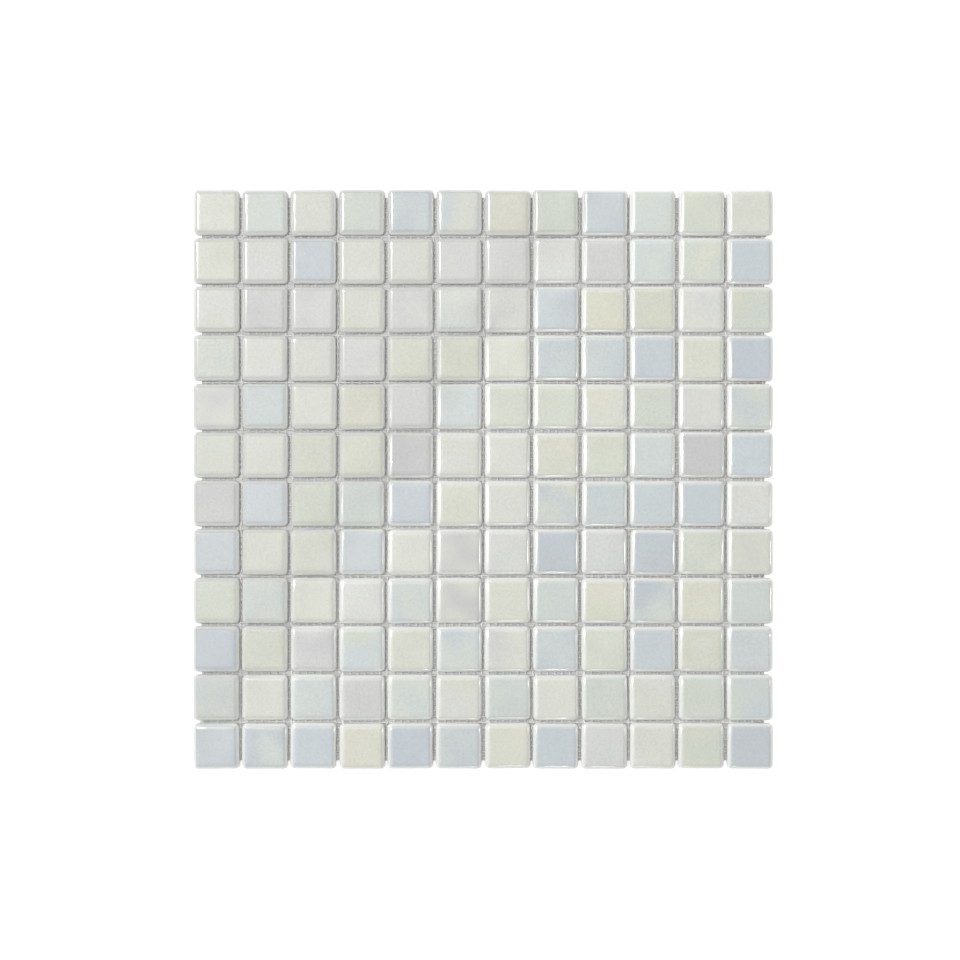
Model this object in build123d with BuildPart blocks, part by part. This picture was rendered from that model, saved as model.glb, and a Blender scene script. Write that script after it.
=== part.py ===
# Mosaic tile sheet: square pearl glass tiles in straight rows, glued by their backs to a glass fibre net.
# Millimetres. The sheet lies face up on its net. X runs along a row, Y across the rows and Z up.
# The origin is at the middle of the sheet, on the surface that it lies on.

import os
from math import atan2, degrees, floor

from build123d import *

# Driving dimensions of a tile
tile_size = 25.0  # side of the square
tile_thickness = 4.0  # from the flat back to the face
corner_cut = 1.5  # leg of the cut that takes off each upright corner
rim_width = 2.1  # how far the soft rim reaches in over the face
rim_height = 2.6  # how far the rim falls from the face to the side
rim_bend = 1.4  # 1 is a straight bevel, 2 a parabola that is upright at the side and soft at the face
rim_facets = 3  # flat steps of equal rise that make up the rim's curve

# Driving dimensions of the sheet
tiles_per_row = 12
row_count = 12
joint_width = 1.45  # open gap between neighbouring tiles

# Driving dimensions of the net
warp_pitch = 4.0  # spacing of the threads along Y
warp_width = 0.9
warp_thickness = 0.2
weft_pitch = 3.2  # spacing of the threads along X
weft_width = 0.8
weft_thickness = 0.2
net_margin = 4.2  # how far inside the outer tiles' edges the net is trimmed

# Places that follow from them
tile_pitch = tile_size + joint_width
sheet_width = tiles_per_row * tile_pitch - joint_width
sheet_length = row_count * tile_pitch - joint_width
net_width = sheet_width - 2 * net_margin
net_length = sheet_length - 2 * net_margin
warp_count = floor((net_width - warp_width) / warp_pitch) + 1
weft_count = floor((net_length - weft_width) / weft_pitch) + 1
warp_level = weft_thickness
back_level = warp_level + warp_thickness

os.makedirs("parts", exist_ok=True)

# Weft threads, the lowest layer, side by side along X
with BuildPart() as weft_threads:
    with BuildSketch():
        with GridLocations(0, weft_pitch, 1, weft_count):
            Rectangle(net_width, weft_width)
    extrude(amount=weft_thickness)
weft_threads.part.label = "net_weft_threads"
export_step(weft_threads.part, "parts/net_weft_threads.step")

# Warp threads, laid across the weft along Y
with BuildPart() as warp_threads:
    with BuildSketch(Plane.XY.offset(warp_level)):
        with GridLocations(warp_pitch, 0, warp_count, 1):
            Rectangle(warp_width, net_length)
    extrude(amount=warp_thickness)
warp_threads.part.label = "net_warp_threads"
export_step(warp_threads.part, "parts/net_warp_threads.step")

# One tile: straight sides, then a rim that curves in to a crease at the face, in flat steps
with BuildPart() as tile:
    with BuildSketch(Plane.XY.offset(back_level)) as tile_outline:
        Rectangle(tile_size, tile_size)
        chamfer(tile_outline.vertices(), corner_cut)
    extrude(amount=tile_thickness - rim_height)
    for facet in range(rim_facets):
        rise = rim_height / rim_facets
        run = rim_width * (((facet + 1) / rim_facets) ** rim_bend - (facet / rim_facets) ** rim_bend)
        crown = tile.faces().sort_by(Axis.Z)[-1]
        extrude(crown, amount=rise, taper=degrees(atan2(run, rise)))

# Rows of tiles, the first at the back edge of the sheet
for row in range(row_count):
    row_y = (sheet_length - tile_size) / 2 - row * tile_pitch
    row_name = f"tile_row_{row + 1:02d}"
    with BuildPart(Plane((0, row_y, 0))) as tile_row:
        with GridLocations(tile_pitch, 0, tiles_per_row, 1):
            add(tile.part)
    tile_row.part.label = row_name
    export_step(tile_row.part, f"parts/{row_name}.step")
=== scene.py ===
# Mosaic tile sheet: pearl glass tiles on a woven glass fibre net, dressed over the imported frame.
import functools
import math
import operator
import random

import bmesh
import bpy
from bpy.props import FloatProperty, FloatVectorProperty, IntProperty, PointerProperty
from bpy.types import Operator, Panel, PropertyGroup
from mathutils import Matrix, Vector, noise


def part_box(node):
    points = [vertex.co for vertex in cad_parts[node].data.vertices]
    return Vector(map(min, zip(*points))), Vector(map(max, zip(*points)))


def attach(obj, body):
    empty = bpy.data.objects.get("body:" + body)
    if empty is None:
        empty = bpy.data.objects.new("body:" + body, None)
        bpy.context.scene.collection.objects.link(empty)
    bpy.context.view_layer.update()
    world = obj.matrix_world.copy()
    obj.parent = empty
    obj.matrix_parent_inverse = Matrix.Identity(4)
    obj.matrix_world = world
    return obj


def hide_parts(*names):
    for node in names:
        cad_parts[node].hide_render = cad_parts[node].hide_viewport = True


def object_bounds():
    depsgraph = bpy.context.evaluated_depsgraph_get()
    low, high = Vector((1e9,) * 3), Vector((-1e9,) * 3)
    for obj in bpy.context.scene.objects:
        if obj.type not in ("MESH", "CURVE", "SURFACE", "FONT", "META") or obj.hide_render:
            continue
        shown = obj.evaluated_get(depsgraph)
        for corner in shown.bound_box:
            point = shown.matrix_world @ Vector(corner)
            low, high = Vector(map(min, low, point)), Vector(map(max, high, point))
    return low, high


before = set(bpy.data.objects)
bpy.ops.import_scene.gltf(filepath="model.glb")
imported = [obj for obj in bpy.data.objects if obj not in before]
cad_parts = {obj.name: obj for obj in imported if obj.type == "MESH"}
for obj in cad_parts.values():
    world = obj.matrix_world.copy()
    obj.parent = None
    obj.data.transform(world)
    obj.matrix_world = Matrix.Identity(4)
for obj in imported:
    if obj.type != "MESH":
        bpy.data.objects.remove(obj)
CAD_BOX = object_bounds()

bl_info = {
    "name": "Mosaic Tile Sheet",
    "version": (1, 0, 0),
    "blender": (4, 5, 0),
    "location": "View3D > Sidebar > Mosaic",
    "description": "Dresses a sheet of pearl glass mosaic tiles on its woven glass fibre net",
    "category": "Add Mesh",
}

MM = 0.001
BODY = "root"
WARP_NODE = "net_warp_threads"
WEFT_NODE = "net_weft_threads"

# Sizes that the frame gives
ROW_NODES = sorted(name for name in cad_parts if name.startswith("tile_row_"))
ROW_LOW, ROW_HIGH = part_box(ROW_NODES[0])
TILE_SIDE = ROW_HIGH.y - ROW_LOW.y
TILE_PITCH = ROW_LOW.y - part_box(ROW_NODES[1])[0].y
TILES_PER_ROW = round((ROW_HIGH.x - ROW_LOW.x - TILE_SIDE) / TILE_PITCH) + 1
BACK_LEVEL = ROW_LOW.z
FACE_LEVEL = ROW_HIGH.z
SHEET_MIDDLE = (CAD_BOX[0] + CAD_BOX[1]) / 2
WARP_LOW, WARP_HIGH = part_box(WARP_NODE)
WEFT_LOW, WEFT_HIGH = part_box(WEFT_NODE)
NET_MIDDLE = (WEFT_LOW.z + WARP_HIGH.z) / 2
NET_HALF = (WARP_HIGH.z - WEFT_LOW.z) / 2

# Names of the values that each tile's points carry for the glass finish
TONE = "tile_tone"
RIM = "rim_share"
BACK = "back_share"

# Sizes of the features in the glass and the yarn, and of their unevenness
BLOOM_SIZE = 15 * MM
GRAIN_SIZE = 1.4 * MM
FINE_SIZE = 0.5 * MM
RIPPLE_SIZE = 5 * MM
RIPPLE_DEPTH = 0.08 * MM
SPECK_SPACING = 9 * MM
FILAMENT_SIZE = 0.12 * MM
FILAMENT_LENGTH = 5 * MM
FILAMENT_DEPTH = 0.03 * MM
BLOTCH_SIZE = 6 * MM
WAVER_SIZE = 7 * MM
WANDER_SIZE = 70 * MM


def shade(red, green, blue):
    """A colour written from 0 to 255, in the linear values that a shader takes."""
    return tuple(((part / 255 + 0.055) / 1.055) ** 2.4 for part in (red, green, blue))


def solid(colour):
    """A colour with full cover, as a colour socket takes it."""
    return (*colour, 1.0)


class MosaicTileSettings(PropertyGroup):
    """Sizes, unevenness and shades of the glass tiles."""

    corner_radius: FloatProperty(
        name="Corner radius", description="Round of a tile's upright corners",
        default=2.5 * MM, min=0.1 * MM, unit="LENGTH", precision=5)
    rim_width: FloatProperty(
        name="Rim width", description="How far the soft rim reaches in over the face",
        default=2.1 * MM, min=0.1 * MM, unit="LENGTH", precision=5)
    rim_height: FloatProperty(
        name="Rim height", description="How far the rim falls from the face to the side",
        default=2.6 * MM, min=0.1 * MM, unit="LENGTH", precision=5)
    rim_bend: FloatProperty(
        name="Rim bend", description="1 is a straight bevel, 2 a parabola that is upright at the side",
        default=2.0, min=1.0, max=3.0)
    crown: FloatProperty(
        name="Crown", description="How much the middle of a face stands above the face's edge",
        default=0.12 * MM, min=0.0, unit="LENGTH", precision=5)
    headroom: FloatProperty(
        name="Headroom", description="Gap left under the sheet's full height for tiles that lie askew",
        default=0.06 * MM, min=0.0, unit="LENGTH", precision=5)
    shift: FloatProperty(
        name="Shift", description="Largest slip of a tile from its place in the grid",
        default=0.22 * MM, min=0.0, unit="LENGTH", precision=5)
    turn: FloatProperty(
        name="Turn", description="Largest turn of a tile on its back",
        default=math.radians(0.45), subtype="ANGLE")
    tilt: FloatProperty(
        name="Tilt", description="Largest lean of a tile from level",
        default=math.radians(0.16), subtype="ANGLE")
    growth: FloatProperty(
        name="Growth", description="Largest share by which a tile is over or under size",
        default=0.006, min=0.0)
    waver: FloatProperty(
        name="Waver", description="Unevenness of a tile's pressed sides",
        default=0.15 * MM, min=0.0, unit="LENGTH", precision=5)
    seed: IntProperty(
        name="Seed", description="Picks the mix of tiles",
        default=2408)
    shade_spread: FloatProperty(
        name="Shade spread", description="How far along the palette a tile's second shade lies",
        default=0.2, min=0.0)
    lustre: FloatProperty(
        name="Lustre", description="Share of the light that the pearl skin mirrors",
        default=0.2, min=0.0, max=1.0)
    rim_white: FloatVectorProperty(
        name="Rim white", description="Shade of the bare glass at the rims",
        default=shade(226, 227, 224), subtype="COLOR")
    silver: FloatVectorProperty(
        name="Silver grey", description="Shade of the plain grey tiles",
        default=shade(195, 196, 196), subtype="COLOR")
    pearl: FloatVectorProperty(
        name="Pearl white", description="Shade of the white tiles",
        default=shade(217, 219, 216), subtype="COLOR")
    ivory: FloatVectorProperty(
        name="Ivory", description="Shade of the warm white tiles",
        default=shade(220, 221, 207), subtype="COLOR")
    cream: FloatVectorProperty(
        name="Cream", description="Shade of the yellowest tiles",
        default=shade(215, 216, 192), subtype="COLOR")
    mint: FloatVectorProperty(
        name="Mint", description="Shade of the faint green tiles",
        default=shade(208, 218, 205), subtype="COLOR")
    sky: FloatVectorProperty(
        name="Sky", description="Shade of the pale blue tiles",
        default=shade(201, 211, 215), subtype="COLOR")
    slate: FloatVectorProperty(
        name="Slate blue", description="Shade of the deepest blue tiles",
        default=shade(187, 197, 206), subtype="COLOR")


class MosaicNetSettings(PropertyGroup):
    """Sizes and colour of the woven net under the tiles."""

    warp_pitch: FloatProperty(
        name="Warp pitch", description="Spacing of the yarn pairs that run across the rows",
        default=4.0 * MM, min=1.0 * MM, unit="LENGTH", precision=5)
    weft_pitch: FloatProperty(
        name="Weft pitch", description="Spacing of the yarns that run along the rows",
        default=3.2 * MM, min=1.0 * MM, unit="LENGTH", precision=5)
    warp_width: FloatProperty(
        name="Warp yarn width", description="Width of one yarn of a pair",
        default=0.8 * MM, min=0.05 * MM, unit="LENGTH", precision=5)
    weft_width: FloatProperty(
        name="Weft yarn width", description="Width of a yarn that lies between the pairs",
        default=1.1 * MM, min=0.05 * MM, unit="LENGTH", precision=5)
    yarn_thickness: FloatProperty(
        name="Yarn thickness", description="Thickness of every yarn",
        default=0.13 * MM, min=0.02 * MM, unit="LENGTH", precision=5)
    pair_spread: FloatProperty(
        name="Pair spread", description="How far a pair's yarns lie from their middle line at a crossing",
        default=0.5 * MM, min=0.0, unit="LENGTH", precision=5)
    lean: FloatProperty(
        name="Lean", description="Angle at which the net was laid askew under the tiles",
        default=math.radians(0.33), subtype="ANGLE")
    wander: FloatProperty(
        name="Wander", description="Largest slow drift of the yarns from straight",
        default=0.35 * MM, min=0.0, unit="LENGTH", precision=5)
    fibre: FloatVectorProperty(
        name="Glass fibre", description="Colour of the resin stiffened yarns",
        default=shade(246, 246, 243), subtype="COLOR")


class MosaicStageSettings(PropertyGroup):
    """Floor, light and camera."""

    floor_size: FloatProperty(
        name="Floor size", description="Side of the square floor",
        default=12.0, unit="LENGTH")
    # Under the net this grey is painted shade: it darkens the floor seen in the joints and between the
    # yarns
    floor_and_shade_grey: FloatVectorProperty(
        name="Floor colour", description="Colour of the plain floor",
        default=(0.68, 0.68, 0.68), subtype="COLOR")
    floor_lift: FloatProperty(
        name="Floor lift", description="Glow that keeps the seen floor white around the sheet",
        default=0.55, min=0.0)
    overhead: FloatProperty(
        name="Overhead light", description="Strength of the surroundings straight above",
        default=0.5, min=0.0)
    horizon: FloatProperty(
        name="Horizon light", description="Strength of the surroundings at eye level",
        default=0.72, min=0.0)
    panel_glow: FloatProperty(
        name="Panel glow", description="Strength of the white panel over the upper left",
        default=0.9, min=0.0)
    panel_bearing: FloatProperty(
        name="Panel bearing", description="Direction of the panel from the sheet's middle, turned from X",
        default=math.radians(145), subtype="ANGLE")
    panel_start: FloatProperty(
        name="Panel start", description="Slope, from straight up, at which the panel begins",
        default=0.03)
    panel_end: FloatProperty(
        name="Panel end", description="Slope, from straight up, at which the panel ends",
        default=0.45)
    panel_reach: FloatProperty(
        name="Panel reach", description="Slope to either side at which the panel ends",
        default=0.45)
    panel_softness: FloatProperty(
        name="Panel softness", description="Half width of the panel's soft edge, as a slope",
        default=0.01, min=0.001)
    lamp_powers: FloatVectorProperty(
        name="Lamp powers", description="Power of the key, left, right, front, high and top lamps",
        default=(190.0, 180.0, 13.0, 9.0, 135.0, 270.0), size=6, min=0.0)
    lamp_bearings: FloatVectorProperty(
        name="Lamp bearings", description="Directions of the lamps from the sheet's middle, turned from X",
        default=tuple(math.radians(bearing) for bearing in (128, 178, -3, -87, 137, 151)), size=6)
    lamp_rises: FloatVectorProperty(
        name="Lamp rises", description="Heights of the lamps over the horizon, as angles",
        default=tuple(math.radians(rise) for rise in (30, 34, 13, 13, 71, 65)), size=6)
    lamp_distance: FloatProperty(
        name="Lamp distance", description="How far the lamps stand from the sheet's middle",
        default=4.0, unit="LENGTH")
    lamp_radius: FloatProperty(
        name="Lamp radius", description="Size of the lamps' bulbs",
        default=0.015, unit="LENGTH", precision=4)
    door_place: FloatProperty(
        name="Door place", description="How far the line of the lamps' doors lies from the middle",
        default=0.05, unit="LENGTH", precision=4)
    door_softness: FloatProperty(
        name="Door softness", description="Share of a lamp's beam that fades towards its door",
        default=0.0012, min=0.0, precision=4)
    camera_height: FloatProperty(
        name="Camera height", description="Height of the camera over the tile faces",
        default=1.1, unit="LENGTH")
    photo_side: IntProperty(
        name="Photo side", description="Side of the photo in pixels", default=960)
    photo_pitch: FloatProperty(
        name="Photo pitch", description="Tile pitch in the photo in pixels", default=48.58)
    photo_middle: FloatVectorProperty(
        name="Photo middle", description="Pixel of the photo on which the sheet's middle lies",
        default=(483.1, 479.25), size=2)


class Signal:
    """A shader socket used as a number: each operator adds a Math node to its finish."""

    def __init__(self, finish, socket):
        self.finish = finish
        self.socket = socket

    def math(self, operation, first, second):
        """A Math node on two numbers."""
        return self.finish.node("ShaderNodeMath", {"operation": operation}, {0: first, 1: second})

    def __add__(self, other):
        return self.math("ADD", self, other)

    def __radd__(self, other):
        return self.math("ADD", other, self)

    def __sub__(self, other):
        return self.math("SUBTRACT", self, other)

    def __rsub__(self, other):
        return self.math("SUBTRACT", other, self)

    def __mul__(self, other):
        return self.math("MULTIPLY", self, other)

    def __rmul__(self, other):
        return self.math("MULTIPLY", other, self)

    def __abs__(self):
        return self.math("ABSOLUTE", self, 0.0)

    def __gt__(self, other):
        return self.math("GREATER_THAN", self, other)


class Finish:
    """A node tree that is put together from one method for any node."""

    def __init__(self, tree):
        self.tree = tree
        self.tree.nodes.clear()

    def node(self, kind, settings=None, sockets=None, output=0):
        """Adds a node, sets it up, fills or links its sockets, and gives back one of its outputs."""
        made = self.tree.nodes.new(kind)
        for name, value in (settings or {}).items():
            if name == "stops":
                self.set_stops(made.color_ramp, value)
            else:
                setattr(made, name, value)
        for key, value in (sockets or {}).items():
            socket = self.find(made.inputs, key)
            if isinstance(value, Signal):
                self.tree.links.new(value.socket, socket)
            else:
                socket.default_value = value
        return Signal(self, self.find(made.outputs, output)) if made.outputs else None

    @staticmethod
    def find(sockets, key):
        """A socket by its number, or by its identifier or name."""
        if isinstance(key, int):
            return sockets[key]
        return next(socket for socket in sockets if key in (socket.identifier, socket.name))

    @staticmethod
    def set_stops(ramp, stops):
        """Gives a colour ramp its stops, from (place, colour) pairs."""
        while len(ramp.elements) < len(stops):
            ramp.elements.new(1.0)
        for element, (place, colour) in zip(ramp.elements, stops):
            element.position = place
            element.color = solid(colour)

    def mix(self, share, first, second, way="MIX"):
        """Mixes two colours."""
        return self.node(
            "ShaderNodeMix", {"data_type": "RGBA", "blend_type": way},
            {"Factor_Float": share, "A_Color": first, "B_Color": second}, "Result_Color")

    def spread(self, value, low, high, out_low=0.0, out_high=1.0):
        """Maps low to high smoothly onto the two output values."""
        return self.node(
            "ShaderNodeMapRange", {"interpolation_type": "SMOOTHSTEP"},
            {"Value": value, "From Min": low, "From Max": high, "To Min": out_low, "To Max": out_high})

    def largest(self, values):
        """The largest of some numbers."""
        return functools.reduce(lambda one, other: one.math("MAXIMUM", one, other), values)

    def parts(self, vector, names="XYZ"):
        """A vector's parts, as numbers."""
        return [self.node("ShaderNodeSeparateXYZ", None, {"Vector": vector}, name) for name in names]

    def grey(self, value):
        """A number as a grey colour."""
        return self.node("ShaderNodeCombineColor", None, {"Red": value, "Green": value, "Blue": value})

    def ray_is(self, *kinds):
        """1 on rays of any of the kinds, and 0 on others."""
        tests = [self.node("ShaderNodeLightPath", None, None, f"Is {kind} Ray") for kind in kinds]
        return self.largest(tests)

    def clouds(self, place, size, detail=2.0, roughness=0.5):
        """Noise whose features are about as large as the size, in metres."""
        return self.node(
            "ShaderNodeTexNoise", None,
            {"Vector": place, "Scale": 1 / size, "Detail": detail, "Roughness": roughness})

    def object_place(self):
        """The point's place in the sheet's own frame."""
        return self.node("ShaderNodeTexCoord", None, None, "Object")

    def attribute(self, name, output):
        """A value that the piece's points carry."""
        return self.node("ShaderNodeAttribute", {"attribute_name": name}, None, output)


def new_finish(name):
    """A new material and the bench for its nodes."""
    material = bpy.data.materials.new(name)
    material.use_nodes = True
    return material, Finish(material.node_tree)


# Where each shade lies on the palette, and the tint that the pearl skin over it mirrors
PALETTE_PLACES = (0.0, 0.12, 0.34, 0.5, 0.64, 0.82, 1.0)
LUSTRE_TINTS = (
    shade(240, 240, 240), shade(243, 243, 241), shade(241, 242, 245), shade(239, 240, 247),
    shade(245, 240, 243), shade(246, 243, 239), shade(247, 243, 237))
# How far a tile's own draw moves it through the noise, in metres
DRAW_STRIDE = (1.7, 2.3, 2.9)
# Between which values of the noise a tile's shade turns into its second one
DRIFT_EDGE = (0.28, 0.72)
# Between which shares of the rim the glass turns to bare white, and turns rougher
RIM_WHITE_EDGE = (-0.1, 0.35)
RIM_ROUGH_EDGE = (-0.05, 0.3)
# Pinholes: the draw above which a spot has one, its soft edge as shares of the spacing, its shade and cover
SPECK_PICK = 0.92
SPECK_EDGE = (0.016, 0.03)
SPECK_SHADE = shade(120, 120, 116)
SPECK_COVER = 0.4
# How strongly the ripple leans the face, and how strongly the glass bends light
RIPPLE_STRENGTH = 0.035
GLASS_IOR = 1.52


def pearl_glass(look):
    """Opaque glass under a pearl lustre, each tile with a shade that drifts into a second one."""
    material, finish = new_finish("pearl_glass")
    tone = finish.attribute(TONE, "Color")
    tone_vector = finish.attribute(TONE, "Vector")
    drift_share = finish.attribute(TONE, "Alpha")
    rim = finish.attribute(RIM, "Fac")
    back = finish.attribute(BACK, "Fac")
    *picks, lightness = [
        finish.node("ShaderNodeSeparateColor", None, {"Color": tone}, part)
        for part in ("Red", "Green", "Blue")]
    place = finish.node(
        "ShaderNodeVectorMath", {"operation": "MULTIPLY_ADD"},
        {0: tone_vector, 1: DRAW_STRIDE, 2: finish.object_place()})

    bloom = finish.clouds(place, BLOOM_SIZE, 0.0)
    grain = finish.clouds(place, GRAIN_SIZE, 2.0, 0.6)
    drift = finish.spread(0.8 * bloom + 0.2 * grain, *DRIFT_EDGE)
    body_shades = (look.silver, look.pearl, look.ivory, look.cream, look.mint, look.sky, look.slate)
    palettes = [list(zip(PALETTE_PLACES, shades)) for shades in (body_shades, LUSTRE_TINTS)]
    pairs = [
        [finish.node("ShaderNodeValToRGB", {"stops": stops}, {"Fac": pick}) for pick in picks]
        for stops in palettes]
    body_colour, lustre_colour = [finish.mix(drift * drift_share, *pair) for pair in pairs]

    fine = finish.clouds(place, FINE_SIZE, 2.0, 0.6)
    light = 0.58 + 0.07 * lightness + 0.1 * bloom + 0.34 * grain + 0.3 * fine
    body_colour = finish.mix(1.0, body_colour, finish.grey(light), "MULTIPLY")
    body_colour = finish.mix(finish.spread(rim, *RIM_WHITE_EDGE), body_colour, solid(look.rim_white))

    speck_cell, speck_gap = [
        finish.node("ShaderNodeTexVoronoi", None, {"Vector": place, "Scale": 1 / SPECK_SPACING}, output)
        for output in ("Color", "Distance")]
    speck_pick = finish.node("ShaderNodeSeparateColor", None, {"Color": speck_cell}, "Red")
    speck = (speck_pick > SPECK_PICK) * (1 - finish.spread(speck_gap, *SPECK_EDGE))
    body_colour = finish.mix(SPECK_COVER * speck, body_colour, solid(SPECK_SHADE))

    ripple = finish.clouds(place, RIPPLE_SIZE, 1.0)
    rough_rim = finish.spread(rim, *RIM_ROUGH_EDGE)
    roughness = 0.08 + 0.05 * ripple + 0.04 * grain + 0.04 * rough_rim + 0.35 * back
    height = 0.9 * ripple + 0.1 * grain - 0.3 * speck
    normal = finish.node(
        "ShaderNodeBump", None, {"Strength": RIPPLE_STRENGTH, "Distance": RIPPLE_DEPTH, "Height": height})
    body = finish.node(
        "ShaderNodeBsdfPrincipled", None,
        {"Base Color": body_colour, "Roughness": roughness, "Normal": normal, "IOR": GLASS_IOR})
    lustre = finish.node(
        "ShaderNodeBsdfPrincipled", None,
        {"Base Color": lustre_colour, "Metallic": 1.0, "Roughness": roughness, "Normal": normal})
    lustre_share = look.lustre * (0.85 + 0.3 * grain) * (1 - 0.3 * rim) * (1 - back)
    shader = finish.node("ShaderNodeMixShader", None, {0: lustre_share, 1: body, 2: lustre})
    finish.node("ShaderNodeOutputMaterial", None, {"Surface": shader})
    return material


def glass_fibre(look, name, lengths):
    """White glass fibre yarn: fine filaments along its length, held in a thin skin of resin."""
    material, finish = new_finish(name)
    stretch = [1 / length for length in lengths]
    place = finish.node("ShaderNodeMapping", None, {"Vector": finish.object_place(), "Scale": stretch})
    filaments = finish.clouds(place, 1.0, 2.0, 0.6)
    blotch = finish.clouds(finish.object_place(), BLOTCH_SIZE)
    light = 0.86 + 0.14 * filaments + 0.08 * blotch
    colour = finish.mix(1.0, solid(look.fibre), finish.grey(light), "MULTIPLY")
    normal = finish.node(
        "ShaderNodeBump", None, {"Strength": 0.5, "Distance": FILAMENT_DEPTH, "Height": filaments})
    shader = finish.node(
        "ShaderNodeBsdfPrincipled", None,
        {"Base Color": colour, "Roughness": 0.42 + 0.2 * filaments, "Normal": normal})
    finish.node("ShaderNodeOutputMaterial", None, {"Surface": shader})
    return material


def add_piece(name, shape, material):
    """Turns a bmesh into an object at the origin with one material."""
    mesh = bpy.data.meshes.new(name)
    shape.to_mesh(mesh)
    shape.free()
    mesh.materials.append(material)
    piece = bpy.data.objects.new(name, mesh)
    bpy.context.scene.collection.objects.link(piece)
    return piece


def dress(piece, node):
    """Puts a finished piece in the place of its CAD node."""
    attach(piece, BODY)
    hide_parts(node)


# How finely a tile's mesh is divided, and the curve of its crown
CORNER_SEGMENTS = 3
SIDE_CUTS = 3
RIM_STEPS = 5
CROWN_RINGS = (0.985, 0.955, 0.91, 0.82, 0.5)
CROWN_POWER = 28


def tile_blank(look):
    """One tile on its back, as a mesh: straight sides, a curved rim, a crease and a crowned face."""
    blank = bmesh.new()
    rim_layer = blank.verts.layers.float.new(RIM)
    back_layer = blank.verts.layers.float.new(BACK)
    blank.verts.layers.float_color.new(TONE)
    side_height = FACE_LEVEL - BACK_LEVEL - look.headroom - look.crown - look.rim_height
    raised = Matrix.Translation((0, 0, side_height / 2))
    bmesh.ops.create_cube(
        blank, size=1.0, matrix=raised @ Matrix.Diagonal((TILE_SIDE, TILE_SIDE, side_height, 1)))
    upright = [
        edge for edge in blank.edges if abs(edge.verts[0].co.z - edge.verts[1].co.z) > side_height / 2]
    bmesh.ops.bevel(
        blank, geom=upright, offset=look.corner_radius, offset_type="OFFSET", segments=CORNER_SEGMENTS,
        profile=0.5, affect="EDGES", material=-1)
    long_edges = [edge for edge in blank.edges if edge.calc_length() > TILE_SIDE / 2]
    bmesh.ops.subdivide_edges(blank, edges=long_edges, cuts=SIDE_CUTS, use_grid_fill=True)
    for vert in blank.verts:
        vert[rim_layer] = 1.0
        vert[back_layer] = 1.0 if vert.co.z < side_height / 2 else 0.0

    top = max(blank.faces, key=lambda face: face.calc_center_median().z)
    bottom = min(blank.faces, key=lambda face: face.calc_center_median().z)
    for edge in bottom.edges:
        edge.smooth = False
    for step in range(RIM_STEPS):
        rise = look.rim_height / RIM_STEPS
        run = look.rim_width * (((step + 1) / RIM_STEPS)**look.rim_bend - (step / RIM_STEPS)**look.rim_bend)
        bmesh.ops.inset_region(
            blank, faces=[top], thickness=run, depth=rise, use_even_offset=True, use_boundary=True)
        for vert in top.verts:
            vert[rim_layer] = 1 - (step + 1) / RIM_STEPS
    reached = 1.0
    for ring in CROWN_RINGS:
        top = bmesh.ops.extrude_discrete_faces(blank, faces=[top])["faces"][0]
        lift = look.crown * (reached**CROWN_POWER - ring**CROWN_POWER)
        bmesh.ops.scale(blank, vec=(ring / reached, ring / reached, 1), verts=top.verts)
        bmesh.ops.translate(blank, vec=(0, 0, lift), verts=top.verts)
        reached = ring
    middle = bmesh.ops.poke(blank, faces=[top])["verts"][0]
    middle.co.z += look.crown * reached**CROWN_POWER
    for face in blank.faces:
        face.smooth = True
    bmesh.ops.recalc_face_normals(blank, faces=blank.faces)
    mesh = bpy.data.meshes.new("tile_blank")
    blank.to_mesh(mesh)
    blank.free()
    return mesh


# Shares of its second shade that a tile can take, and the steps that set tiles and axes apart in the noise
DRIFT_SHARES = (0.3, 1.0)
TILE_STRIDE = 5.3
WAVER_STRIDE = Vector((0, 0, 2.6))


def lay_tile(row, blank, place, look, draw, number):
    """Adds one tile to its row, a little askew and uneven, with its own draw of shades."""
    first_vert = len(row.verts)
    row.from_mesh(blank)
    row.verts.ensure_lookup_table()
    verts = row.verts[first_vert:]
    rim_layer = row.verts.layers.float[RIM]
    tone_layer = row.verts.layers.float_color[TONE]
    first_pick = draw.random()
    second_pick = min(max(first_pick + draw.gauss(0, look.shade_spread), 0.0), 1.0)
    tone = (first_pick, second_pick, draw.random(), draw.uniform(*DRIFT_SHARES))
    for vert in verts:
        vert[tone_layer] = tone
        sway = look.waver * vert[rim_layer]
        point = Vector((vert.co.x / WAVER_SIZE, vert.co.y / WAVER_SIZE, TILE_STRIDE * number))
        vert.co.x += sway * noise.noise(point)
        vert.co.y += sway * noise.noise(point + WAVER_STRIDE)
    size = 1 + draw.uniform(-look.growth, look.growth)
    slip = Vector((draw.uniform(-look.shift, look.shift), draw.uniform(-look.shift, look.shift), 0))
    lie = (
        Matrix.Translation(place + slip)
        @ Matrix.Rotation(draw.uniform(-look.turn, look.turn), 4, "Z")
        @ Matrix.Rotation(draw.uniform(-look.tilt, look.tilt), 4, "X")
        @ Matrix.Rotation(draw.uniform(-look.tilt, look.tilt), 4, "Y")
        @ Matrix.Diagonal((size, size, 1, 1)))
    bmesh.ops.transform(row, matrix=lie, verts=verts)


def keep_inside(shape):
    """Holds every point within the CAD box."""
    low, high = CAD_BOX
    for vert in shape.verts:
        vert.co = [min(max(part, least), most) for part, least, most in zip(vert.co, low, high)]


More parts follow.
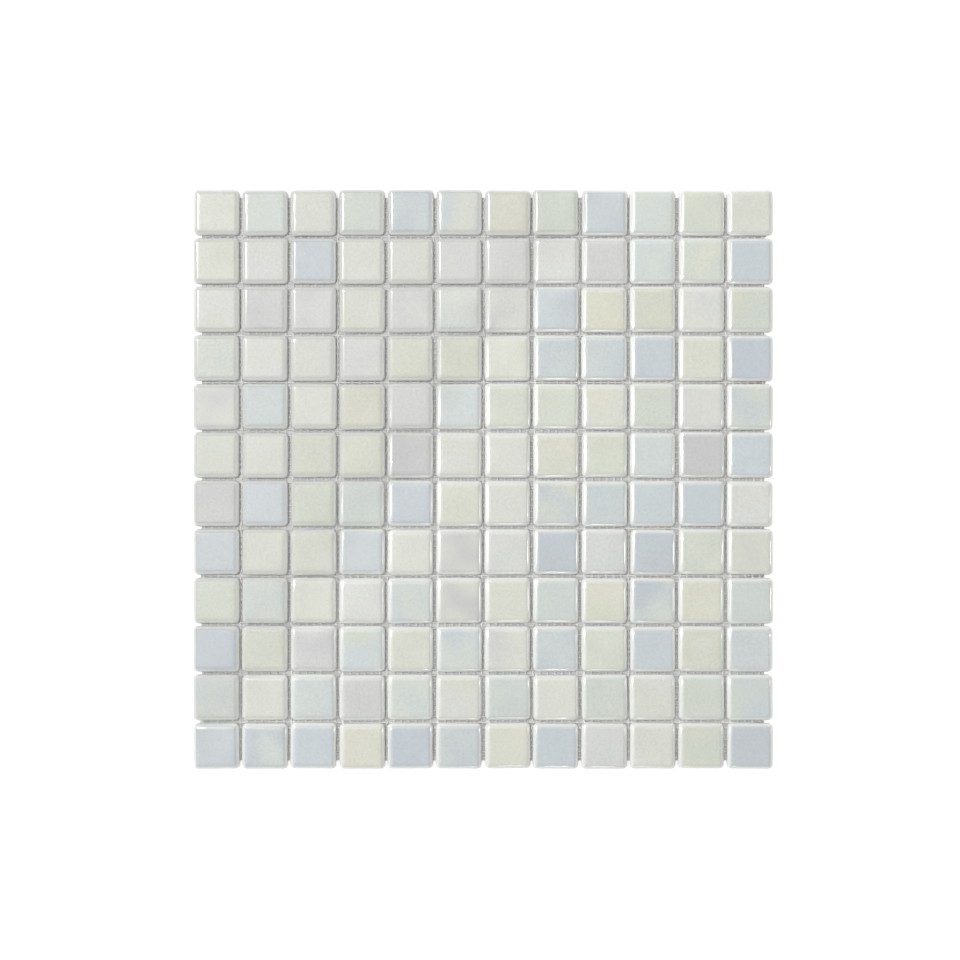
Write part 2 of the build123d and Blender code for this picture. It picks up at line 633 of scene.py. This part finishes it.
class MOSAIC_OT_tile_rows(Operator):
    """Make the rows of pearl glass tiles"""

    bl_idname = "mosaic.tile_rows"
    bl_label = "Tile rows"

    def execute(self, context):
        look = context.scene.mosaic_tiles
        draw = random.Random(look.seed)
        glass = pearl_glass(look)
        blank = tile_blank(look)
        for row_number, node in enumerate(ROW_NODES):
            low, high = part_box(node)
            row = bmesh.new()
            for column in range(TILES_PER_ROW):
                middle_x = low.x + TILE_SIDE / 2 + column * TILE_PITCH
                place = Vector((middle_x, (low.y + high.y) / 2, BACK_LEVEL))
                lay_tile(row, blank, place, look, draw, row_number * TILES_PER_ROW + column)
            keep_inside(row)
            piece = add_piece(f"glass_{node}", row, glass)
            dress(piece, node)
        bpy.data.meshes.remove(blank)
        return {"FINISHED"}


# How finely a yarn's mesh is divided
YARN_SIDES = 4
WARP_STEPS_PER_WEFT = 2
WEFT_STEPS = 24
# Where the net's drift is read in the noise, and the step that sets its axes apart
WANDER_LEVEL = 0.4
WANDER_STRIDE = Vector((0, 0, 3.7))
# Share of a pitch that rounding may take from a whole number of yarns
ROUNDING_SLACK = 0.001


def lay_yarns(reach, steps, width, thickness, pitch, count):
    """Straight flat yarns with closed ends, side by side along Y and each along X, about the origin."""
    yarns = bmesh.new()
    start = Matrix.Translation((-reach / 2, -pitch * (count - 1) / 2, 0))
    section = Matrix.Diagonal((1, width, thickness, 1)) @ Matrix.Rotation(math.pi / 2, 4, "Y")
    ring = bmesh.ops.create_circle(
        yarns, cap_ends=False, segments=YARN_SIDES, radius=0.5, matrix=start @ section)
    bmesh.ops.spin(
        yarns, geom=[*ring["verts"], *yarns.edges], cent=(0, 0, 0), axis=(1, 0, 0),
        dvec=(reach / steps, 0, 0), angle=0, steps=steps, use_merge=False, use_duplicate=False)
    bmesh.ops.holes_fill(yarns, edges=[edge for edge in yarns.edges if edge.is_boundary], sides=YARN_SIDES)
    bmesh.ops.recalc_face_normals(yarns, faces=yarns.faces)
    for face in yarns.faces:
        face.smooth = True
    bmesh.ops.spin(
        yarns, geom=[*yarns.verts, *yarns.edges, *yarns.faces], cent=(0, 0, 0), axis=(1, 0, 0),
        dvec=(0, pitch, 0), angle=0, steps=count - 1, use_merge=False, use_duplicate=True)
    return yarns


def slacken(yarns, look):
    """Leans the net, lets its yarns drift from straight, and moves it to its place under the tiles."""
    for vert in yarns.verts:
        point = Vector((vert.co.x / WANDER_SIZE, vert.co.y / WANDER_SIZE, WANDER_LEVEL))
        vert.co.x += vert.co.y * math.tan(look.lean) + look.wander * noise.noise(point)
        vert.co.y += look.wander * noise.noise(point + WANDER_STRIDE)
        vert.co.x += SHEET_MIDDLE.x
        vert.co.y += SHEET_MIDDLE.y


def yarn_count(span, pitch):
    """How many yarns at a pitch a span holds, from edge to edge."""
    return math.floor(span / pitch + ROUNDING_SLACK) + 1


class MOSAIC_OT_net_warp(Operator):
    """Make the net's warp: pairs of yarns that cross each other between the weft yarns and grip them"""

    bl_idname = "mosaic.net_warp"
    bl_label = "Net warp"

    def execute(self, context):
        look = context.scene.mosaic_net
        swing = NET_HALF - look.yarn_thickness / 2
        weft_count = yarn_count(WEFT_HIGH.y - WEFT_LOW.y, look.weft_pitch)
        warp_count = yarn_count(WARP_HIGH.x - WARP_LOW.x, look.warp_pitch)
        reach = weft_count * look.weft_pitch
        fibre = glass_fibre(look, "warp_glass_fibre", (FILAMENT_SIZE, FILAMENT_LENGTH, FILAMENT_SIZE))
        quarter_turn = Matrix.Rotation(math.pi / 2, 3, "Z")
        for name, hand in (("net_binding_yarns", 1), ("net_ground_yarns", -1)):
            yarns = lay_yarns(
                reach, weft_count * WARP_STEPS_PER_WEFT, look.warp_width, look.yarn_thickness,
                look.warp_pitch, warp_count)
            for vert in yarns.verts:
                beat = math.pi * (vert.co.x / look.weft_pitch - 0.5 * (weft_count - 1))
                vert.co.y += hand * look.pair_spread * math.cos(beat)
                vert.co.z += NET_MIDDLE + hand * swing * math.cos(2 * beat)
            bmesh.ops.rotate(yarns, cent=(0, 0, 0), matrix=quarter_turn, verts=yarns.verts)
            slacken(yarns, look)
            keep_inside(yarns)
            piece = add_piece(name, yarns, fibre)
            dress(piece, WARP_NODE)
        return {"FINISHED"}


class MOSAIC_OT_net_weft(Operator):
    """Make the net's weft: flat yarns that lie through the pairs of the warp"""

    bl_idname = "mosaic.net_weft"
    bl_label = "Net weft"

    def execute(self, context):
        look = context.scene.mosaic_net
        weft_count = yarn_count(WEFT_HIGH.y - WEFT_LOW.y, look.weft_pitch)
        reach = WEFT_HIGH.x - WEFT_LOW.x
        yarns = lay_yarns(
            reach, WEFT_STEPS, look.weft_width, look.yarn_thickness, look.weft_pitch, weft_count)
        bmesh.ops.translate(yarns, vec=(0, 0, NET_MIDDLE), verts=yarns.verts)
        slacken(yarns, look)
        keep_inside(yarns)
        fibre = glass_fibre(look, "weft_glass_fibre", (FILAMENT_LENGTH, FILAMENT_SIZE, FILAMENT_SIZE))
        piece = add_piece("net_weft_yarns", yarns, fibre)
        dress(piece, WEFT_NODE)
        return {"FINISHED"}


# How far the floor lies under the sheet, and how large its faint mottle is
FLOOR_GAP = 0.02 * MM
MOTTLE_SIZE = 0.4


def lay_floor(look):
    """A plain grey floor, kept white beyond the net; under the net its grey is painted shade in the joints.
    """
    material, finish = new_finish("studio_floor")
    place = finish.object_place()
    seen = finish.ray_is("Camera", "Glossy", "Transmission")
    part_x, part_y = finish.parts(place, "XY")
    beyond_x = abs(part_x - SHEET_MIDDLE.x) > (WEFT_HIGH.x - WEFT_LOW.x) / 2
    beyond_y = abs(part_y - SHEET_MIDDLE.y) > (WARP_HIGH.y - WARP_LOW.y) / 2
    # The glow stops at the net's edge, so the grey floor under the sheet shows as painted shade in the
    # joints
    lift = look.floor_lift * finish.largest((beyond_x, beyond_y)) * seen
    mottle = finish.clouds(place, MOTTLE_SIZE)
    shader = finish.node(
        "ShaderNodeBsdfPrincipled", None,
        {"Base Color": solid(look.floor_and_shade_grey), "Roughness": 0.7 + 0.1 * mottle, "Specular IOR Level": 0.2,
         "Emission Color": finish.grey(lift), "Emission Strength": 1.0})
    finish.node("ShaderNodeOutputMaterial", None, {"Surface": shader})
    plane = bmesh.new()
    bmesh.ops.create_grid(
        plane, x_segments=1, y_segments=1, size=look.floor_size / 2,
        matrix=Matrix.Translation((0, 0, CAD_BOX[0].z - FLOOR_GAP)))
    floor = add_piece("studio_floor", plane, material)


# Height, as a direction's Z, at which the surroundings reach their overhead strength
DOME_SHOULDER = 0.75


def light_surroundings(look):
    """Even grey surroundings with a white panel over the upper left; white to the camera."""
    world = bpy.data.worlds.new("studio_surroundings")
    world.use_nodes = True
    finish = Finish(world.node_tree)
    direction = finish.node("ShaderNodeTexCoord", None, None, "Generated")
    side_x, side_y, height = finish.parts(direction)
    plain = finish.spread(height, 0.0, DOME_SHOULDER, look.horizon, look.overhead)
    across = side_x * math.cos(look.panel_bearing) + side_y * math.sin(look.panel_bearing)
    along = side_y * math.cos(look.panel_bearing) - side_x * math.sin(look.panel_bearing)
    insides = (
        across - height * look.panel_start, height * look.panel_end - across,
        height * look.panel_reach - abs(along))
    softness = look.panel_softness
    panel = functools.reduce(
        operator.mul, [finish.spread(inside, -softness, softness) for inside in insides])
    strength = plain + panel * (look.panel_glow - plain)
    strength = strength + finish.ray_is("Camera") * (1 - strength)
    background = finish.node("ShaderNodeBackground", None, {"Color": (1, 1, 1, 1), "Strength": strength})
    finish.node("ShaderNodeOutputWorld", None, {"Surface": background})
    bpy.context.scene.world = world


# Each lamp, and the side of the doors' line that it lights: -1 is the lower right, 1 the upper left
LAMPS = {
    "key_lamp": -1, "left_lamp": -1, "right_lamp": -1, "front_lamp": -1, "high_lamp": -1, "top_lamp": 1}


def hang_lamp(name, power, bearing, rise, side, look):
    """A small lamp whose door stops its beam at a line across the sheet, to light one side of it."""
    lamp = bpy.data.lights.new(name, "SPOT")
    lamp.energy = power
    lamp.shadow_soft_size = look.lamp_radius
    lamp.spot_size = math.pi
    lamp.spot_blend = look.door_softness
    level = math.cos(rise)
    towards = Vector((math.cos(bearing) * level, math.sin(bearing) * level, math.sin(rise)))
    stand = look.lamp_distance * towards
    across = Vector((math.cos(look.panel_bearing), math.sin(look.panel_bearing), 0))
    along = Vector((-across.y, across.x, 0))
    beam = along.cross(stand - across * look.door_place)
    if beam.dot(across) * side < 0:
        beam.negate()
    holder = bpy.data.objects.new(name, lamp)
    holder.location = stand
    holder.rotation_euler = beam.to_track_quat("-Z", "Y").to_euler()
    holder.visible_camera = False
    bpy.context.scene.collection.objects.link(holder)


# Width of the camera's sensor, in millimetres
SENSOR_WIDTH = 36.0


def stand_camera(look):
    """A camera straight over the sheet, with the sheet where the photo has it."""
    pixel = TILE_PITCH / look.photo_pitch
    lens = bpy.data.cameras.new("camera")
    lens.sensor_width = SENSOR_WIDTH
    lens.lens = SENSOR_WIDTH * look.camera_height / (look.photo_side * pixel)
    camera = bpy.data.objects.new("camera", lens)
    off_x = look.photo_middle[0] - look.photo_side / 2
    off_y = look.photo_middle[1] - look.photo_side / 2
    camera.location = (
        SHEET_MIDDLE.x - off_x * pixel, SHEET_MIDDLE.y + off_y * pixel, FACE_LEVEL + look.camera_height)
    bpy.context.scene.collection.objects.link(camera)
    bpy.context.scene.camera = camera


class MOSAIC_OT_stage(Operator):
    """Set up the floor, the light and the camera"""

    bl_idname = "mosaic.stage"
    bl_label = "Stage"

    def execute(self, context):
        look = context.scene.mosaic_stage
        lay_floor(look)
        light_surroundings(look)
        lamps = zip(LAMPS.items(), look.lamp_powers, look.lamp_bearings, look.lamp_rises)
        for (name, side), power, bearing, rise in lamps:
            hang_lamp(name, power, bearing, rise, side, look)
        stand_camera(look)
        context.scene.view_settings.view_transform = "Standard"
        return {"FINISHED"}


class MOSAIC_PT_sheet(Panel):
    """The mosaic tile sheet's pieces and settings"""

    bl_idname = "MOSAIC_PT_sheet"
    bl_label = "Mosaic tile sheet"
    bl_space_type = "VIEW_3D"
    bl_region_type = "UI"
    bl_category = "Mosaic"

    def draw(self, context):
        for title, group, actions in PANEL_PARTS:
            part = self.layout.box()
            part.label(text=title)
            settings = getattr(context.scene, group)
            for name in settings.__annotations__:
                part.prop(settings, name)
            for action in actions:
                part.operator(action.bl_idname)


PANEL_PARTS = (
    ("Tiles", "mosaic_tiles", (MOSAIC_OT_tile_rows,)),
    ("Net", "mosaic_net", (MOSAIC_OT_net_warp, MOSAIC_OT_net_weft)),
    ("Stage", "mosaic_stage", (MOSAIC_OT_stage,)),
)
SETTINGS = {
    "mosaic_tiles": MosaicTileSettings,
    "mosaic_net": MosaicNetSettings,
    "mosaic_stage": MosaicStageSettings,
}
CLASSES = (
    *SETTINGS.values(), MOSAIC_OT_tile_rows, MOSAIC_OT_net_warp, MOSAIC_OT_net_weft, MOSAIC_OT_stage,
    MOSAIC_PT_sheet)


def register():
    """Adds the settings, operators and panel to Blender."""
    for kind in CLASSES:
        bpy.utils.register_class(kind)
    for name, group in SETTINGS.items():
        setattr(bpy.types.Scene, name, PointerProperty(type=group))


def unregister():
    """Takes them out again."""
    for name in SETTINGS:
        delattr(bpy.types.Scene, name)
    for kind in reversed(CLASSES):
        bpy.utils.unregister_class(kind)


def main():
    """Makes every piece and the stage."""
    register()
    bpy.ops.mosaic.tile_rows()
    bpy.ops.mosaic.net_warp()
    bpy.ops.mosaic.net_weft()
    bpy.ops.mosaic.stage()


if __name__ == "__main__":
    main()
